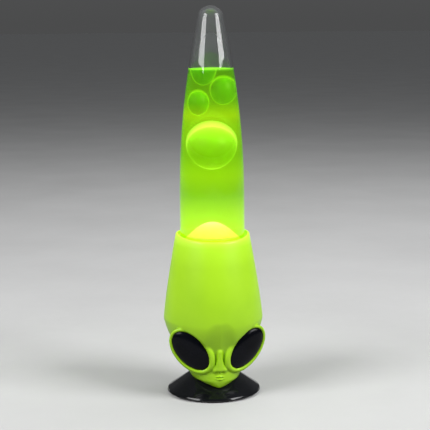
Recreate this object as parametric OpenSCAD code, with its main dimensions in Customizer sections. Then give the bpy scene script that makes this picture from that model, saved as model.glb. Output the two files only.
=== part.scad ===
// Alien-head lava lamp: a bullet-shaped glass bottle of liquid and wax stands in a moulded
// head shell over a small reflector bulb, on a low flared base.
// Millimetres, +Z up. The origin is on the table under the bottle's axis, and the face looks to -Y.

/* [Overall] */
// Height from the table to the tip of the glass
lamp_h = 400; // [370:1:480]
// Radius of the base at its rim
base_r = 48.9; // [44:0.1:60]
// Height of the base's flat top, where the head stands
base_h = 20; // [18:0.5:26]
// Height of the top of the head's collar
collar_z = 169; // [160:1:205]

/* [Bottle] */
// Outer radius of the bottle's straight side
bottle_r = 33.3; // [27:0.1:34]
// Radius of the long arc that narrows the bottle towards its tip
ogive_r = 850; // [700:10:1100]
// Radius of the rounded tip
tip_r = 13.5; // [11:0.5:16]
// Thickness of the glass
glass_t = 2.4; // [1.8:0.1:3]
// Outer radius of the bottle's neck, at its lower end
neck_r = 15.5; // [12:0.5:18]
// Length of the bottle's neck
neck_len = 11; // [9:1:14]
// Height of the curved shoulder between the neck and the straight side
shoulder_h = 22; // [18:1:30]
// Height left empty between the liquid's surface and the tip of the glass
air_h = 62.5; // [50:0.5:75]
// Thickness of the neck cap's wall and floor
cap_t = 1.6; // [1.2:0.1:2.4]
// Thickness of the cap's gasket
gasket_t = 1.4; // [1:0.1:2]

/* [Wax and coil] */
// Height of the warm wax mound's crest over the collar
mound_rise = 12; // [5:0.5:20]
// Depth of the mound's dome, from its crest to where it meets the glass
mound_dome = 33; // [25:1:45]
// Horizontal radius of the large blob, as a share of the bottle's bore
large_share = 0.647; // [0.5:0.01:0.7]
// Half the height of the large blob
large_rz = 24.9; // [20:0.1:27]
// Clear height between the mound's crest and the large blob
large_gap = 53.5; // [51:0.5:70]
// Horizontal radius of the left blob, on the viewer's left, as a share of the bore
left_share = 0.311; // [0.2:0.01:0.32]
// Half the height of the left blob
left_rz = 13.5; // [10:0.1:15]
// Clear height between the large blob and the left one
left_gap = 5; // [3:0.5:8]
// Place of the left blob from the axis, left to right and front to back, in shares of the bore
left_place = [-0.372, -0.097];
// Horizontal radius of the right blob, as a share of the bore
right_share = 0.33; // [0.2:0.01:0.35]
// Half the height of the right blob
right_rz = 15.2; // [11:0.1:16]
// Depth of the right blob's top under the liquid's surface
right_depth = 8; // [6:0.5:12]
// Place of the right blob from the axis, in shares of the bore
right_place = [0.307, 0.129];
// Depth of the wax that hangs from the liquid's surface
hang_depth = 18; // [12:0.5:19]
// Radius of the hanging wax where it meets the surface, as a share of the bore
hang_share = 0.372; // [0.25:0.01:0.39]
// Place of the hanging wax from the axis, in shares of the bore
hang_place = [-0.227, -0.097];
// Gap between the heating coil and the glass beside it
coil_side = 5.3; // [3:0.1:8]
// Outer radius of the coil's turns
coil_turn_r = 2.6; // [2:0.1:3]
// Radius of the coil's wire
coil_wire_r = 0.6; // [0.4:0.1:0.8]
// Number of turns in the coil
coil_turns = 16; // [10:1:20]

/* [Head] */
// Half the width of the head at the brow
head_half_w = 51.6; // [46:0.1:60]
// Reach of the forehead in front of the axis
head_front_d = 51; // [46:0.5:60]
// Reach of the skull behind the axis
head_back_d = 52; // [46:0.5:60]
// Height of the brow, where the head is widest
brow_z = 80; // [74:1:96]
// Height of the lowest point of the chin
chin_z = 12.6; // [11:0.1:16]
// Reach of the chin in front of the axis
chin_d = 40; // [38:0.5:44]
// Radius of the neck where the head stands on the base
head_neck_r = 25; // [24:0.5:27]
// Thickness of the head's moulded wall
shell_t = 2.4; // [1.8:0.1:3]
// How far the collar's edge dips at the front
collar_dip = 4.5; // [0:0.5:6]

/* [Face] */
// Half the long way across an eye
eye_a = 24.3; // [20:0.1:26]
// Half the short way across an eye
eye_b = 14.8; // [12:0.1:16]
// Distance of an eye's centre from the middle of the face
eye_x = 28.4; // [26:0.1:33]
// Distance of an eye's centre in front of the axis
eye_d = 34; // [30:0.5:37]
// Height of an eye's centre over the base's top
eye_rise = 32.5; // [30:0.5:38]
// Turn of an eye away from straight ahead
eye_yaw = 21; // [16:1:28]
// Turn of an eye downwards
eye_pitch = 6; // [0:1:12]
// Slant of an eye's long axis, with its outer end up
eye_slant = 48; // [40:1:55]
// Height of an eye's dome over its edge
eye_dome = 5; // [3:0.5:7]
// Thickness of an eye's plug behind its dome
eye_plug = 2.5; // [2:0.1:4]
// Radius of the raised rim on the side next to the nose
rim_inner_r = 3.2; // [2.5:0.1:4]
// Radius of the raised rim on the side away from the nose
rim_outer_r = 1.7; // [1.4:0.1:2.5]
// Height of the nose's tip over the base's top
nose_rise = 13.5; // [12:0.5:17]
// Radius of the nose's tip
nose_r = 4.2; // [3:0.1:5]
// Height of the mouth over the base's top
mouth_rise = 4; // [3:0.5:6]
// Half the width of the mouth
mouth_half_w = 4.5; // [3:0.5:7]
// Length of the nose's bridge
bridge_len = 18; // [14:1:22]
// Radius of the nose's bridge at its top
bridge_r = 2; // [1.5:0.1:3]
// How far the nose's tip stands out of the face
nose_stand = 3.8; // [2:0.1:4.5]
// Half the width across the nose's wings
nose_half_w = 7.4; // [5:0.1:8]
// Radius of a nostril's wing
nostril_r = 2.4; // [1.5:0.1:3]

/* [Base] */
// Thickness of the base's moulded wall
base_t = 2.2; // [1.8:0.1:3]
// Height of the base's upright rim
base_rim_h = 2.5; // [2:0.1:4]
// Thickness of the bottom plate
plate_t = 2; // [1.5:0.1:3]
// Radius of a rubber foot
foot_r = 5; // [4:0.5:6]
// How far a rubber foot stands out under the plate
foot_stand = 1.4; // [1:0.1:2]
// Depth of the pocket that holds a foot
foot_pocket = 1; // [0.6:0.1:1.2]
// Radius of the hole through the cord grommet
cord_hole_r = 2.6; // [2:0.1:3]
// Length of the cord grommet
grommet_len = 10; // [9:0.5:12]

/* [Lamp] */
// Radius of the reflector bulb at its widest
bulb_r = 19.5; // [16:0.5:20]
// Length of the bulb from its contact to its crown
bulb_len = 60; // [54:1:62]
// Radius of the bulb's screw cap (a small Edison screw, 14 mm across)
bulb_cap_r = 6.9; // [6.7:0.05:7]
// Length of the bulb's screw cap
bulb_cap_len = 22; // [20:1:24]
// Outer radius of the lamp holder
holder_r = 12; // [10.5:0.5:13]
// Height of the lamp holder
holder_h = 30; // [27:1:32]
// Thickness of the frame's plate and of the ring under the bottle
frame_t = 2; // [1.5:0.1:3]
// Radius of a frame post
post_r = 1.6; // [1.2:0.1:2]

/* [Fits] */
// Gap between the bottle and the head's collar
collar_gap = 2.2; // [1.2:0.1:3]
// Gap between the bottle's shoulder and the pad it stands on
seat_gap = 0.3; // [0.2:0.1:0.6]
// Gap between pieces that are screwed or pressed together
fit_gap = 0.2; // [0.1:0.05:0.3]
// Gap between the head's underside and the base
chin_gap = 0.6; // [0.4:0.1:1]
// Gap between the wax and the liquid round it
wax_gap = 0.25; // [0.2:0.05:0.4]
// Gap between the bulb and the bottle's cap over it
bulb_air = 4; // [3:0.5:8]

/* [Hidden] */

$fn = 96;
eps = 0.01;
hull_fn = 16;
lime = "#a4dc2a";
black = "#101214";
steel = "#b9bcc0";

// Heights up through the lamp, each from the one below it
plate_z = foot_stand;
floor_z = base_h + fit_gap;
floor_top = floor_z + shell_t;
frame_top = floor_top + frame_t;
contact_h = 2.4;
holder_floor = 4;
bulb_z = frame_top + holder_floor + contact_h + fit_gap;
bulb_top = bulb_z + bulb_len;
cap_z = bulb_top + bulb_air;
cap_h = cap_t + gasket_t + neck_len - 2 * fit_gap;
neck_z = cap_z + cap_t + gasket_t;
shoulder_z = neck_z + neck_len;
tip_z = lamp_h - tip_r;
ogive_z = tip_z - sqrt(pow(ogive_r - tip_r, 2) - pow(ogive_r - bottle_r, 2));
liquid_z = lamp_h - air_h;
mound_top = collar_z + mound_rise;
mound_edge = mound_top - mound_dome;
large_z = mound_top + large_gap + large_rz;
left_z = large_z + large_rz + left_gap + left_rz;
right_z = liquid_z - right_depth - right_rz;

// Wax, placed and sized by the bottle's bore
bottle_in = bottle_r - glass_t;
large_at = [0, 0];
large_r = large_share * bottle_in;
left_at = left_place * bottle_in;
left_r = left_share * bottle_in;
right_at = right_place * bottle_in;
right_r = right_share * bottle_in;
hang_at = hang_place * bottle_in;
hang_r = hang_share * bottle_in;

// Radii that follow other pieces
neck_in = neck_r - glass_t;
cap_r = neck_r + fit_gap + cap_t;
collar_in = bottle_r + collar_gap;
collar_out = collar_in + shell_t;
frame_over = 0.9;
frame_r = head_neck_r - shell_t + frame_over;
post_edge = 0.2;
post_ring_r = frame_r - post_r - post_edge;
cap_clear = 1.6;
seat_in = cap_r + cap_clear;
seat_rim = 1.8;
seat_out = post_ring_r + post_r + seat_rim;
peg_r = 1;
pad_t = 1.2;
// Height of the outside of the shoulder at some radius
function shoulder_at(r) =
    shoulder_z + shoulder_h / 180 * acos(1 - 2 * (r - neck_r) / (bottle_r - neck_r));
seat_z = shoulder_at(seat_in) - seat_gap - pad_t - frame_t;
film_gap = 0.1;
// How far up the bottle's shoulder the coil lies, and the shoulder's radius there
coil_share = 0.85;
coil_z = shoulder_z + shoulder_h * coil_share;
shoulder_r_at_coil = neck_r + (bottle_r - neck_r) * (1 - cos(180 * coil_share)) / 2;
coil_ring_r = shoulder_r_at_coil - glass_t - coil_side - coil_turn_r;
coil_centre_r = coil_turn_r - coil_wire_r;
socket_gap = 0.3;
socket_r = bulb_cap_r + socket_gap;
socket_t = 0.8;
holder_screw_x = holder_r + 2.8;
deck_edge = 0.4;
deck_r = head_neck_r + deck_edge;
skirt_top_z = plate_z + base_rim_h;

// Screws, their bosses and the circles that they stand on
screw_r = 1.3;
screw_head_r = 2.7;
screw_head_h = 1.8;
screw_bite = 0.15;
bolt_r = 1.5;
boss_r = 3;
boss_wall = 0.4;
boss_side_gap = 0.6;
boss_x = seat_out + boss_r + boss_side_gap;
boss_levels = [floor_z + 27, shoulder_z - 12];
boss_head_y = 9;
pilot_len = 12;
wire_hole_r = 5;
bolt_ring_r = 19;
bolt_first = 30;
post_first = 90;
parting_gap = 0.05;

// ---- Shapes used by several pieces ----

// A cross-headed screw standing on its point: its head's underside is at z = 0.
module screw(shank_r, shank_len, head_r, head_h) {
    slot_w = head_r * 0.3;
    difference() {
        union() {
            cylinder(r = head_r, h = head_h, $fn = 32);
            translate([0, 0, -shank_len]) cylinder(r = shank_r, h = shank_len + eps, $fn = 24);
        }
        for (turn = [0, 90])
            rotate(turn)
                translate([-head_r * 0.7, -slot_w / 2, head_h * 0.4])
                    cube([head_r * 1.4, slot_w, head_h]);
    }
}

module ring(r_out, r_in, h) {
    difference() {
        cylinder(r = r_out, h = h);
        translate([0, 0, -eps]) cylinder(r = r_in, h = h + 2 * eps);
    }
}

// Copies of the children at equal turns round the axis.
module around(count, radius, first = 0) {
    for (i = [0 : count - 1]) rotate(first + i * 360 / count) translate([radius, 0, 0]) children();
}

// ---- Outline of the bottle, as radius against height ----

shoulder_steps = 12;
ogive_steps = 14;
tip_steps = 8;

function ogive_radius(z) = bottle_r - ogive_r + sqrt(pow(ogive_r, 2) - pow(max(0, z - ogive_z), 2));
function tip_join() = acos((ogive_r - bottle_r) / (ogive_r - tip_r));
// Height where the long arc hands over to the tip's arc
tip_join_z = tip_z + tip_r * sin(tip_join());

function shoulder_points(inset) = [
    for (i = [0 : shoulder_steps])
        let (t = i / shoulder_steps)
            [neck_r + (bottle_r - neck_r) * (1 - cos(180 * t)) / 2 - inset, shoulder_z + t * shoulder_h]
];
function ogive_points(inset, top) = [
    for (i = [0 : ogive_steps])
        let (z = ogive_z + (top - ogive_z) * i / ogive_steps) [ogive_radius(z) - inset, z]
];
function tip_points(inset) = [
    for (i = [1 : tip_steps])
        let (a = tip_join() + (90 - tip_join()) * i / tip_steps)
            [(tip_r - inset) * cos(a), tip_z + (tip_r - inset) * sin(a)]
];
function inner_join_z() = tip_z + (tip_r - glass_t) * sin(tip_join());

module bottle_outer() {
    rotate_extrude()
        polygon(concat(
            [[0, neck_z], [neck_r, neck_z]],
            shoulder_points(0),
            ogive_points(0, tip_join_z),
            tip_points(0)
        ));
}

module bottle_inner() {
    rotate_extrude()
        polygon(concat(
            [[0, neck_z - 1], [neck_in, neck_z - 1]],
            shoulder_points(glass_t),
            ogive_points(glass_t, inner_join_z()),
            tip_points(glass_t)
        ));
}

// ---- Outline of the head ----

// How an outline draws in: 1 is straight, more keeps its width for longer
crown_side_bend = 1.2;
crown_front_bend = 1.6;
crown_back_bend = 1.7;
jaw_bend = 1.3;
face_bend = 2.2;
chin_bend = 0.6;
chin_tip_r = 3;
chin_round = 3;
jaw_square = 0.2;

// Half width, front reach and back reach at a height. Above the brow they draw in to the round
// collar, below it to the neck, and under the neck only the chin is left.
function above(z) = (z - brow_z) / (collar_z - brow_z);
function below(z) = (z - floor_z) / (brow_z - floor_z);
function chin(z) = max(0, (z - chin_z) / (floor_z - chin_z));
function crown(reach, z, bend) = collar_out + (reach - collar_out) * (1 - pow(above(z), bend));
function jaw(reach, z) = head_neck_r + (reach - head_neck_r) * (1 - pow(1 - below(z), jaw_bend));

function half_w(z) =
    z >= brow_z ? crown(head_half_w, z, crown_side_bend) :
    z >= floor_z ? jaw(head_half_w, z) :
    chin_tip_r + (head_neck_r - chin_tip_r) * pow(chin(z), chin_bend);
function front_d(z) =
    z >= brow_z ? crown(head_front_d, z, crown_front_bend) :
    z >= floor_z ? chin_d + (head_front_d - chin_d) * pow(below(z), face_bend) :
    chin_d - chin_round * (1 - sqrt(chin(z)));
function back_d(z) =
    z >= brow_z ? crown(head_back_d, z, crown_back_bend) :
    z >= floor_z ? jaw(head_back_d, z) :
    head_neck_r;

// Squareness of the outline: 1 is an ellipse, and the jaw is a little squarer
function squareness(z) = z >= brow_z ? 1 : 1 - jaw_square * (brow_z - z) / (brow_z - chin_z);
function signed_pow(v, e) = sign(v) * pow(abs(v), e);

function head_ring(z, inset, n) = [
    for (i = [0 : n - 1])
        let (
            a = 360 * i / n,
            front = sin(a) < 0,
            reach = front ? front_d(z) : back_d(z),
            e = front ? squareness(z) : 1
        )
            [(half_w(z) - inset) * signed_pow(cos(a), e), (reach - inset) * signed_pow(sin(a), e), z]
];

// Side triangles and end caps of a stack of rings of n points.
function stack_faces(rings, n) = concat(
    [[for (i = [0 : n - 1]) i]],
    [
        for (k = [0 : rings - 2], i = [0 : n - 1])
            let (a = k * n + i, b = k * n + (i + 1) % n) each [[a, a + n, b + n], [a, b + n, b]]
    ],
    [[for (i = [n - 1 : -1 : 0]) (rings - 1) * n + i]]
);

module head_stack(heights, inset, n) {
    polyhedron(
        points = [for (z = heights) each head_ring(z, inset, n)],
        faces = stack_faces(len(heights), n),
        convexity = 6
    );
}

chin_levels = [for (i = [0 : 4]) chin_z + (floor_z - chin_z) * pow(i / 5, 1.5)];
face_levels = [for (i = [0 : 9]) floor_z + (brow_z - floor_z) * i / 10];
crown_levels = [for (i = [0 : 10]) brow_z + (collar_z - brow_z) * i / 10];
inner_levels = [for (i = [0 : 14]) floor_top + (collar_z + 1 - floor_top) * i / 14];
outer_sides = 52;
inner_sides = 36;

// ---- Eyes ----

// Puts children in an eye's own frame: x along its long axis, z straight out of it.
module on_eye(side) {
    mirror([side < 0 ? 1 : 0, 0, 0])
        translate([eye_x, -eye_d, floor_z + eye_rise])
            rotate([0, 0, eye_yaw])
                rotate([90 + eye_pitch, 0, 0])
                    rotate([0, 0, eye_slant])
                        children();
}

// A domed oval with a plug behind it, grown by some clearance.
module eye_solid(grow) {
    a = eye_a + grow;
    b = eye_b + grow;
    difference() {
        scale([a, b, eye_dome + grow]) sphere(r = 1);
        translate([-a - 1, -b - 1, -eye_dome - grow - 1])
            cube([2 * a + 2, 2 * b + 2, eye_dome + grow + 1]);
    }
    translate([0, 0, -eye_plug - grow])
        linear_extrude(eye_plug + grow + eps) scale([a, b]) circle(r = 1);
}

rim_steps = 24;
rim_offset = 1.5;
rim_sink = 0.4;
rim_fn = 10;
// Direction, in an eye's frame, of the side next to the nose
rim_nose_side = 180 - eye_slant / 2;
pod_step = 1;
pod_len = 20;
pod_end_share = 0.5;
pod_lean = 4;

function rim_at(a) = [(eye_a + rim_offset) * cos(a), (eye_b + rim_offset) * sin(a), -rim_sink];
function rim_r(a) = rim_outer_r + (rim_inner_r - rim_outer_r) * (1 + cos(a - rim_nose_side)) / 2;

module rim() {
    for (i = [0 : rim_steps - 1]) {
        a = 360 * i / rim_steps;
        b = 360 * (i + 1) / rim_steps;
        hull() {
            translate(rim_at(a)) sphere(r = rim_r(a), $fn = rim_fn);
            translate(rim_at(b)) sphere(r = rim_r(b), $fn = rim_fn);
        }
    }
}

// An oval column from some depth behind an eye's edge out past the face.
module eye_column(grow, depth) {
    translate([0, 0, -depth])
        linear_extrude(head_front_d)
            scale([eye_a + rim_offset + grow, eye_b + rim_offset + grow]) circle(r = 1, $fn = 48);
}

// The pod that carries an eye out from the head, from its rim to a smaller oval inside.
module eye_pod(shrink, depth) {
    hull() {
        translate([0, 0, -depth])
            linear_extrude(pod_step)
                scale([eye_a + rim_offset - shrink, eye_b + rim_offset - shrink]) circle(r = 1, $fn = 32);
        translate([-pod_lean, -pod_lean, -pod_len])
            linear_extrude(pod_step)
                scale([eye_a * pod_end_share, eye_b * pod_end_share]) circle(r = 1, $fn = 24);
    }
}

// ---- Head shell, made whole and then parted into a front and a back half ----

function on_face(z, lift) = [0, -front_d(z) + lift, z];

module ball(at, r) {
    translate(at) sphere(r = r, $fn = hull_fn);
}

module nose() {
    nose_z = floor_z + nose_rise;
    bridge = on_face(nose_z + bridge_len, bridge_r - nose_stand / 3);
    tip = on_face(nose_z, nose_r - nose_stand);
    hull() {
        ball(bridge, bridge_r);
        ball(tip, nose_r);
    }
    for (side = [-1, 1])
        hull() {
            ball(on_face(nose_z + bridge_len / 2, bridge_r - nose_stand / 2), bridge_r);
            ball(tip, nostril_r);
            ball(on_face(nose_z - 1, nostril_r - nose_stand / 3) + [side * (nose_half_w - nostril_r), 0, 0],
                nostril_r);
        }
}

module lip(z, lip_r, droop) {
    for (side = [-1, 1])
        hull() {
            ball(on_face(z, 0), lip_r);
            ball(on_face(z, lip_r / 2) + [side * mouth_half_w, 0, -droop], lip_r / 2);
        }
}

module face_details() {
    lip_r = 1.3;
    lip_half_gap = 1.5;
    lip_droop = 0.7;
    nose();
    lip(floor_z + mouth_rise + lip_half_gap, lip_r, lip_droop);
    lip(floor_z + mouth_rise - lip_half_gap, lip_r, -lip_droop);
}

// Screw bosses across the parting, against the side walls
module at_bosses() {
    for (z = boss_levels, side = [-1, 1]) translate([side * boss_x, 0, z]) rotate([-90, 0, 0]) children();
}

module on_both_eyes() {
    for (side = [-1, 1]) on_eye(side) children();
}

module base_room() {
    rim_room = base_r + chin_gap;
    translate([0, 0, -1]) cylinder(r = rim_room, h = skirt_top_z + 1 + chin_gap);
    translate([0, 0, skirt_top_z + chin_gap - eps])
        cylinder(r1 = rim_room, r2 = deck_r + chin_gap, h = floor_z - skirt_top_z - chin_gap + eps);
}

module head_outer() {
    difference() {
        head_stack(concat(chin_levels, face_levels, crown_levels), 0, outer_sides);
        on_both_eyes() eye_column(0, rim_sink);
    }
    face_details();
    on_both_eyes() {
        rim();
        eye_pod(0, pod_step + rim_sink);
    }
}

bore_depth = 12;

module head_hollow() {
    across = head_front_d + head_back_d;
    difference() {
        union() {
            difference() {
                head_stack(inner_levels, shell_t, inner_sides);
                on_both_eyes() eye_column(shell_t, eye_plug + shell_t);
            }
            on_both_eyes() eye_pod(2 * shell_t, eye_plug + shell_t + pod_step);
        }
        at_bosses()
            translate([0, 0, -head_front_d]) cylinder(r = boss_r + boss_wall, h = across, $fn = 20);
        translate([-across, -across, -1]) cube([2 * across, 2 * across, floor_top + 1]);
    }
    translate([0, 0, collar_z - bore_depth]) cylinder(r = collar_in, h = bore_depth + 1);
}

// What the collar's edge loses as it slopes down from the sides to the front.
module front_dip() {
    translate([0, 0, collar_z])
        rotate([atan(collar_dip / collar_out), 0, 0])
            translate([-head_half_w, -head_half_w, 0]) cube([2 * head_half_w, head_half_w, bore_depth]);
}

module head_shell() {
    difference() {
        head_outer();
        head_hollow();
        base_room();
        front_dip();
        on_both_eyes() eye_solid(fit_gap);
        at_bosses() {
            translate([0, 0, -pilot_len]) cylinder(r = screw_r, h = pilot_len + 1, $fn = 16);
            cylinder(r = screw_r + fit_gap, h = head_back_d, $fn = 16);
            translate([0, 0, boss_head_y]) cylinder(r = screw_head_r + fit_gap, h = head_back_d, $fn = 20);
        }
        translate([0, 0, floor_z - 1]) cylinder(r = wire_hole_r, h = shell_t + 2);
        around(3, bolt_ring_r, bolt_first)
            translate([0, 0, floor_z - 1]) cylinder(r = bolt_r + fit_gap, h = shell_t + 2, $fn = 20);
    }
}

module head_front() {
    color(lime)
        intersection() {
            head_shell();
            translate([-lamp_h, -lamp_h - parting_gap, 0]) cube([2 * lamp_h, lamp_h, lamp_h]);
        }
}

module head_back() {
    color(lime)
        intersection() {
            head_shell();
            translate([-lamp_h, parting_gap, 0]) cube([2 * lamp_h, lamp_h, lamp_h]);
        }
}

module shell_screws() {
    color(steel)
        at_bosses() translate([0, 0, boss_head_y])
            screw(screw_r - screw_bite, boss_head_y + pilot_len - 2, screw_head_r, screw_head_h);
}

module left_eye() {
    color(black) on_eye(1) eye_solid(0);
}

module right_eye() {
    color(black) on_eye(-1) eye_solid(0);
}

// ---- Base ----

plate_screw_in = 13;
plate_screw_ring_r = base_r - plate_screw_in;
foot_in = 11;
foot_ring_r = base_r - foot_in;
plate_r = base_r - base_t - fit_gap;
plate_seat = plate_z + plate_t;
ledge_w = 2;
port_r = 5.2;
port_in = 1.9;
port_y = base_r - port_in;
port_len = 14;
base_slope = (base_r - deck_r) / (base_h - skirt_top_z);
// Just high enough for the port's face to clear the slope
port_z = skirt_top_z + (base_r - port_y) / base_slope + port_r;
grommet_wall = 0.9;
grommet_r = cord_hole_r + grommet_wall;
flange_t = 1.4;

module base_skirt() {
    rim_round = 1;
    screw_hole_h = 7;
    inner_top = base_h - base_t;
    inner_low_r = base_r - base_t - ledge_w;
    inner_top_r = inner_low_r - base_slope * (inner_top - plate_seat - base_t);
    color(black)
        difference() {
            union() {
                rotate_extrude()
                    polygon([
                        [0, plate_z],
                        [base_r - rim_round, plate_z],
                        [base_r, plate_z + rim_round],
                        [base_r, skirt_top_z],
                        [deck_r, base_h],
                        [0, base_h]
                    ]);
                translate([0, port_y, port_z]) rotate([90, 0, 0]) cylinder(r = port_r, h = port_len);
            }
            difference() {
                rotate_extrude()
                    polygon([
                        [0, plate_z - 1],
                        [plate_r + fit_gap, plate_z - 1],
                        [plate_r + fit_gap, plate_seat + fit_gap],
                        [inner_low_r, plate_seat + fit_gap],
                        [inner_top_r, inner_top],
                        [0, inner_top]
                    ]);
                around(3, plate_screw_ring_r, bolt_first)
                    translate([0, 0, plate_seat + fit_gap]) cylinder(r = boss_r, h = inner_top, $fn = 32);
            }
            translate([0, port_y + 1, port_z])
                rotate([90, 0, 0]) cylinder(r = grommet_r + fit_gap / 2, h = port_len + foot_in);
            around(3, plate_screw_ring_r, bolt_first)
                translate([0, 0, plate_z]) cylinder(r = screw_r, h = screw_hole_h, $fn = 24);
            translate([0, 0, base_h - base_t - 1]) cylinder(r = wire_hole_r, h = base_t + 2);
            around(3, bolt_ring_r, bolt_first)
                translate([0, 0, base_h - base_t - 1])
                    cylinder(r = bolt_r + fit_gap, h = base_t + 2, $fn = 32);
        }
}

module base_plate() {
    vent_half = 12;
    vent_w = 2;
    screw_seat = 1;
    color(black)
        difference() {
            translate([0, 0, plate_z]) cylinder(r = plate_r, h = plate_t);
            around(4, foot_ring_r, 45)
                translate([0, 0, plate_z - 1]) cylinder(r = foot_r + fit_gap, h = foot_pocket + 1, $fn = 48);
            around(3, plate_screw_ring_r, bolt_first) {
                translate([0, 0, plate_z - 1]) cylinder(r = screw_r + fit_gap, h = plate_t + 2, $fn = 32);
                translate([0, 0, plate_z - 1])
                    cylinder(r = screw_head_r + fit_gap, h = screw_seat + 1, $fn = 32);
            }
            for (y = [-vent_half : vent_half / 2 : vent_half])
                translate([-vent_half, y - vent_w / 2, plate_z - 1])
                    cube([2 * vent_half, vent_w, plate_t + 2]);
        }
}

module rubber_feet() {
    foot_round = 0.8;
    foot_h = foot_stand + foot_pocket;
    color("#2a2a2c")
        around(4, foot_ring_r, 45)
            rotate_extrude($fn = 48)
                polygon([
                    [0, 0],
                    [foot_r - foot_round, 0],
                    [foot_r, foot_round],
                    [foot_r, foot_h],
                    [0, foot_h]
                ]);
}

module plate_screws() {
    color(steel)
        around(3, plate_screw_ring_r, bolt_first)
            translate([0, 0, plate_z + 1]) rotate([180, 0, 0])
                screw(screw_r - screw_bite, 5, screw_head_r, 1);
}

module cord_grommet() {
    flange_r = port_r - 0.4;
    flange_round = 0.6;
    color("#1a1a1c")
        translate([0, port_y + flange_t, port_z])
            rotate([90, 0, 0])
                difference() {
                    union() {
                        rotate_extrude($fn = 48)
                            polygon([
                                [0, 0],
                                [flange_r - flange_round, 0],
                                [flange_r, flange_round],
                                [flange_r, flange_t],
                                [0, flange_t]
                            ]);
                        cylinder(r = grommet_r, h = grommet_len);
                    }
                    translate([0, 0, -1]) cylinder(r = cord_hole_r, h = grommet_len + 2);
                }
}

// ---- Frame inside the head ----

module frame_hole(r) {
    translate([0, 0, -1]) cylinder(r = r, h = frame_t + 2, $fn = 32);
}

module frame_plate() {
    color(steel)
        translate([0, 0, floor_top])
            difference() {
                cylinder(r = frame_r, h = frame_t);
                translate([0, 0, -1]) cylinder(r = wire_hole_r, h = frame_t + 2);
                around(3, bolt_ring_r, bolt_first) frame_hole(bolt_r);
                around(3, post_ring_r, post_first) frame_hole(peg_r);
                around(2, holder_screw_x) frame_hole(screw_r);
            }
}

module frame_posts() {
    color(steel)
        around(3, post_ring_r, post_first) {
            translate([0, 0, frame_top]) cylinder(r = post_r, h = seat_z - frame_top, $fn = 32);
            translate([0, 0, floor_top]) cylinder(r = peg_r, h = seat_z + frame_t - floor_top, $fn = 24);
        }
}

module seat_ring() {
    color(steel)
        difference() {
            translate([0, 0, seat_z]) ring(seat_out, seat_in, frame_t);
            around(3, post_ring_r, post_first)
                translate([0, 0, seat_z]) frame_hole(peg_r);
        }
}

module seat_pad() {
    pad_z = seat_z + frame_t;
    color("#3a3d40")
        rotate_extrude()
            polygon([
                [seat_in, pad_z],
                [seat_out, pad_z],
                [seat_out, shoulder_at(seat_out) - seat_gap],
                [seat_in, shoulder_at(seat_in) - seat_gap]
            ]);
}

module base_bolts() {
    color(steel)
        around(3, bolt_ring_r, bolt_first)
            translate([0, 0, base_h - base_t])
                rotate([180, 0, 0])
                    screw(bolt_r - 0.05, frame_top - base_h + base_t, screw_head_r, screw_head_h);
}

// ---- Lamp holder and bulb ----

ear_h = 3;
wire_r = 1.2;

module lamp_holder() {
    ear_r = holder_screw_x + 3;
    ear_w = 10;
    wire_x = 6;
    bore_r = socket_r + socket_t + fit_gap / 2;
    color("#e9e6dc")
        translate([0, 0, frame_top])
            difference() {
                union() {
                    cylinder(r = holder_r, h = holder_h);
                    intersection() {
                        cylinder(r = ear_r, h = ear_h);
                        translate([-ear_r, -ear_w / 2, 0]) cube([2 * ear_r, ear_w, ear_h]);
                    }
                }
                translate([0, 0, holder_floor]) cylinder(r = bore_r, h = holder_h);
                around(2, wire_x, 90) translate([0, 0, -1])
                    cylinder(r = wire_r, h = holder_floor + 2, $fn = 24);
                around(2, holder_screw_x)
                    translate([0, 0, -1]) cylinder(r = screw_r + fit_gap, h = ear_h + 2, $fn = 24);
            }
}

module socket_shell() {
    groove = 0.35;
    ring_h = 3;
    low = frame_top + holder_floor + contact_h;
    high = frame_top + holder_h - 1;
    turns = floor((high - low) / ring_h);
    color("#c9a24a")
        rotate_extrude()
            polygon(concat(
                [[socket_r + socket_t, low], [socket_r + socket_t, high]],
                [for (i = [turns : -1 : 1]) each [
                    [socket_r, low + i * ring_h],
                    [socket_r + groove, low + (i - 0.5) * ring_h]
                ]],
                [[socket_r, low]]
            ));
}

module holder_contact() {
    tab_r = 4.6;
    tab_t = 0.8;
    color("#c9a24a")
        translate([0, 0, frame_top + holder_floor]) {
            cylinder(r = tab_r, h = tab_t, $fn = 48);
            cylinder(r1 = 3, r2 = 1.8, h = contact_h, $fn = 48);
        }
}

module holder_screws() {
    color(steel)
        around(2, holder_screw_x)
            translate([0, 0, frame_top + ear_h]) screw(screw_r - 0.05, ear_h + frame_t, 2.5, 1.6);
}

bulb_wall = 0.8;
thread_pitch = 3;
thread_turns = 5;
thread_low = 4;
thread_depth = 0.3;

module bulb_cap() {
    tip_flat_r = 1.6;
    color("#c9ccd0")
        translate([0, 0, bulb_z])
            difference() {
                rotate_extrude()
                    polygon(concat(
                        [[0, 0], [tip_flat_r, 0], [tip_flat_r + 0.6, 0.8]],
                        [[bulb_cap_r - 1.4, thread_low - 1.2], [bulb_cap_r, thread_low]],
                        [for (i = [1 : thread_turns]) each [
                            [bulb_cap_r - thread_depth, thread_low + (i - 0.5) * thread_pitch],
                            [bulb_cap_r, thread_low + i * thread_pitch]
                        ]],
                        [[bulb_cap_r, bulb_cap_len], [0, bulb_cap_len]]
                    ));
                translate([0, 0, thread_low]) cylinder(r = bulb_cap_r - bulb_wall, h = bulb_cap_len);
            }
}

bulb_steps = 10;
cone_share = 0.62;
cone_bend = 1.3;
cone_h = (bulb_len - bulb_cap_len) * cone_share;
crown_h = bulb_len - bulb_cap_len - cone_h;
bulb_neck_r = bulb_cap_r - 0.4;

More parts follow.
